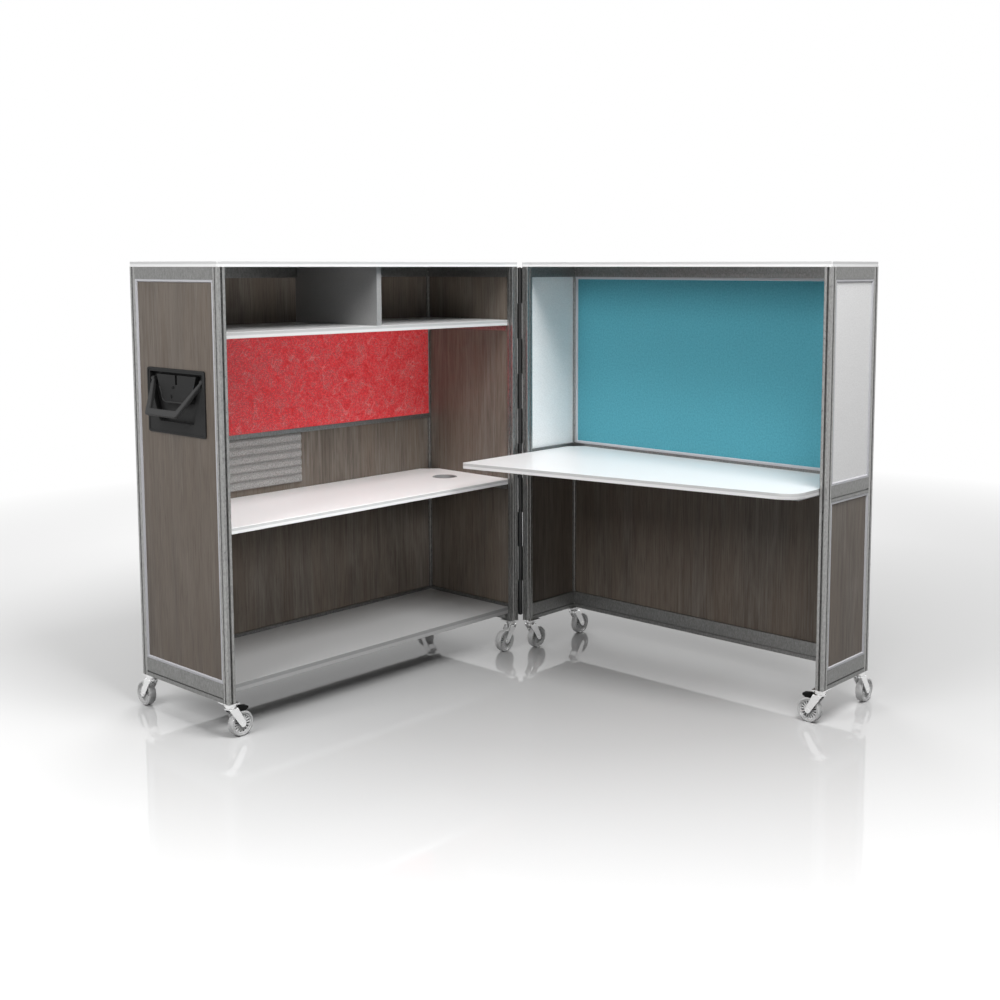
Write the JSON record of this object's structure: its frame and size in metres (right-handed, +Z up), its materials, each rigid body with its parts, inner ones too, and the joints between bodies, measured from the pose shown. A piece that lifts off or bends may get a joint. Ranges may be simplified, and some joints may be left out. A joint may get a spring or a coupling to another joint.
{
  "type": "cubicle workstation",
  "caption": "Folding mobile workstation: two hinged bays of slotted aluminium frames on casters, with wood and white panels, tackboards, shelves, desks and a pull handle.",
  "frame": {"origin": "middle of the footprint, on the floor", "axes": "+Z up; +X from the storage bay's outer end towards the desk bay; +Y from the desk bay's outer end towards the storage bay's back"},
  "size_m": [1.7084, 1.8114, 1.448],
  "materials": {
    "aluminium": "satin, brushed along the length",
    "wood_panel": "grey brown laminate with upright grain",
    "bead": "smooth matt",
    "white_board": "smooth laminate with a grey edge band",
    "white_panel": "smooth satin",
    "red_fabric": "woven",
    "teal_fabric": "woven",
    "slat_grey": "matt",
    "grommet_plastic": "matt",
    "handle_plastic": "fine moulded grain",
    "bail_paint": "satin powder coat",
    "hinge_black": "satin",
    "caster_chrome": "bright",
    "bolt_steel": "plain",
    "wheel_grey": "smooth polyurethane",
    "pedal_plastic": "matt",
    "support_steel": "powder coat"
  },
  "bodies": {
    "storage_bay": {"storage_post_front_hinge": "aluminium", "storage_post_front_outer": "aluminium", "storage_back_posts": "aluminium", "storage_top_rails": "aluminium", "storage_bottom_rails": "aluminium", "storage_outer_panel": "wood_panel", "storage_inner_panel": "wood_panel", "storage_back_panel": "wood_panel", "storage_panel_beads": "bead", "storage_top_cap": "white_board", "top_shelf": "white_board", "cubby_divider": "white_board", "red_tackboard": "red_fabric", "tackboard_rail": "aluminium", "slat_panel": "slat_grey", "storage_desk": "white_board", "desk_grommet": "grommet_plastic", "bottom_shelf": "white_board", "shelf_cleats": "aluminium", "handle_housing": "handle_plastic", "storage_hinge_leaf": "hinge_black", "hinge_pin": "hinge_black", "storage_caster_mounts": "caster_chrome", "storage_caster_bolts": "bolt_steel"},
    "desk_bay": {"desk_post_front_hinge": "aluminium", "desk_post_front_outer": "aluminium", "desk_back_posts": "aluminium", "desk_top_rails": "aluminium", "desk_grooved_rails": "aluminium", "desk_upper_panels": "white_panel", "desk_lower_panels": "wood_panel", "desk_panel_beads": "bead", "teal_tackboard": "teal_fabric", "desk_top_cap": "white_board", "worktop": "white_board", "worktop_supports": "support_steel", "desk_hinge_leaf": "hinge_black", "desk_caster_mounts": "caster_chrome", "desk_caster_bolts": "bolt_steel"},
    "handle_bail": {"handle_bail": "bail_paint"},
    "storage_front_outer_fork": {"storage_front_outer_fork": "caster_chrome"},
    "storage_front_outer_wheel": {"storage_front_outer_wheel": "wheel_grey"},
    "storage_front_outer_pedal": {"storage_front_outer_pedal": "pedal_plastic"},
    "storage_front_hinge_fork": {"storage_front_hinge_fork": "caster_chrome"},
    "storage_front_hinge_wheel": {"storage_front_hinge_wheel": "wheel_grey"},
    "storage_back_outer_fork": {"storage_back_outer_fork": "caster_chrome"},
    "storage_back_outer_wheel": {"storage_back_outer_wheel": "wheel_grey"},
    "storage_back_hinge_fork": {"storage_back_hinge_fork": "caster_chrome"},
    "storage_back_hinge_wheel": {"storage_back_hinge_wheel": "wheel_grey"},
    "desk_front_hinge_fork": {"desk_front_hinge_fork": "caster_chrome"},
    "desk_front_hinge_wheel": {"desk_front_hinge_wheel": "wheel_grey"},
    "desk_front_outer_fork": {"desk_front_outer_fork": "caster_chrome"},
    "desk_front_outer_wheel": {"desk_front_outer_wheel": "wheel_grey"},
    "desk_front_outer_pedal": {"desk_front_outer_pedal": "pedal_plastic"},
    "desk_back_hinge_fork": {"desk_back_hinge_fork": "caster_chrome"},
    "desk_back_hinge_wheel": {"desk_back_hinge_wheel": "wheel_grey"},
    "desk_back_outer_fork": {"desk_back_outer_fork": "caster_chrome"},
    "desk_back_outer_wheel": {"desk_back_outer_wheel": "wheel_grey"}
  },
  "joints": [
    {"name": "bay_hinge", "type": "hinge", "parent": "storage_bay", "child": "desk_bay", "pos_m": [0.50274, 0.37425, 0.772], "axis": [0, 0, 1], "range_deg": [-90, 90]},
    {"name": "bail_swing", "type": "hinge", "parent": "storage_bay", "child": "handle_bail", "pos_m": [-0.78626, 0.61325, 1.085], "axis": [0, 1, 0], "range_deg": [-30, 60]},
    {"name": "storage_front_outer_swivel", "type": "hinge", "parent": "storage_bay", "child": "storage_front_outer_fork", "pos_m": [-0.77726, 0.39575, 0.0967], "axis": [0, 0, 1], "range_deg": [-5, 185]},
    {"name": "storage_front_outer_roll", "type": "hinge", "parent": "storage_front_outer_fork", "child": "storage_front_outer_wheel", "pos_m": [-0.74226, 0.39575, 0.04], "axis": [0, -1, 0], "continuous": true},
    {"name": "storage_front_outer_brake", "type": "hinge", "parent": "storage_front_outer_fork", "child": "storage_front_outer_pedal", "pos_m": [-0.76326, 0.39575, 0.087], "axis": [0, -1, 0], "range_deg": [0, 15]},
    {"name": "storage_front_hinge_swivel", "type": "hinge", "parent": "storage_bay", "child": "storage_front_hinge_fork", "pos_m": [0.47274, 0.39575, 0.0967], "axis": [0, 0, 1], "range_deg": [-90, 5]},
    {"name": "storage_front_hinge_roll", "type": "hinge", "parent": "storage_front_hinge_fork", "child": "storage_front_hinge_wheel", "pos_m": [0.43774, 0.39575, 0.04], "axis": [0, 1, 0], "continuous": true},
    {"name": "storage_back_outer_swivel", "type": "hinge", "parent": "storage_bay", "child": "storage_back_outer_fork", "pos_m": [-0.77726, 0.83075, 0.0967], "axis": [0, 0, 1], "continuous": true},
    {"name": "storage_back_outer_roll", "type": "hinge", "parent": "storage_back_outer_fork", "child": "storage_back_outer_wheel", "pos_m": [-0.77726, 0.86575, 0.04], "axis": [1, 0, 0], "continuous": true},
    {"name": "storage_back_hinge_swivel", "type": "hinge", "parent": "storage_bay", "child": "storage_back_hinge_fork", "pos_m": [0.47274, 0.83075, 0.0967], "axis": [0, 0, 1], "continuous": true},
    {"name": "storage_back_hinge_roll", "type": "hinge", "parent": "storage_back_hinge_fork", "child": "storage_back_hinge_wheel", "pos_m": [0.47274, 0.86575, 0.04], "axis": [1, 0, 0], "continuous": true},
    {"name": "desk_front_hinge_swivel", "type": "hinge", "parent": "desk_bay", "child": "desk_front_hinge_fork", "pos_m": [0.52424, 0.34425, 0.0967], "axis": [0, 0, 1], "range_deg": [-90, 20]},
    {"name": "desk_front_hinge_roll", "type": "hinge", "parent": "desk_front_hinge_fork", "child": "desk_front_hinge_wheel", "pos_m": [0.55924, 0.34425, 0.04], "axis": [0, -1, 0], "continuous": true},
    {"name": "desk_front_outer_swivel", "type": "hinge", "parent": "desk_bay", "child": "desk_front_outer_fork", "pos_m": [0.52424, -0.88575, 0.0967], "axis": [0, 0, 1], "range_deg": [-185, 5]},
    {"name": "desk_front_outer_roll", "type": "hinge", "parent": "desk_front_outer_fork", "child": "desk_front_outer_wheel", "pos_m": [0.52424, -0.85075, 0.04], "axis": [1, 0, 0], "continuous": true},
    {"name": "desk_front_outer_brake", "type": "hinge", "parent": "desk_front_outer_fork", "child": "desk_front_outer_pedal", "pos_m": [0.52424, -0.87175, 0.087], "axis": [1, 0, 0], "range_deg": [0, 15]},
    {"name": "desk_back_hinge_swivel", "type": "hinge", "parent": "desk_bay", "child": "desk_back_hinge_fork", "pos_m": [0.77924, 0.34425, 0.0967], "axis": [0, 0, 1], "continuous": true},
    {"name": "desk_back_hinge_roll", "type": "hinge", "parent": "desk_back_hinge_fork", "child": "desk_back_hinge_wheel", "pos_m": [0.81424, 0.34425, 0.04], "axis": [0, -1, 0], "continuous": true},
    {"name": "desk_back_outer_swivel", "type": "hinge", "parent": "desk_bay", "child": "desk_back_outer_fork", "pos_m": [0.77924, -0.88575, 0.0967], "axis": [0, 0, 1], "continuous": true},
    {"name": "desk_back_outer_roll", "type": "hinge", "parent": "desk_back_outer_fork", "child": "desk_back_outer_wheel", "pos_m": [0.81424, -0.88575, 0.04], "axis": [0, -1, 0], "continuous": true}
  ]
}
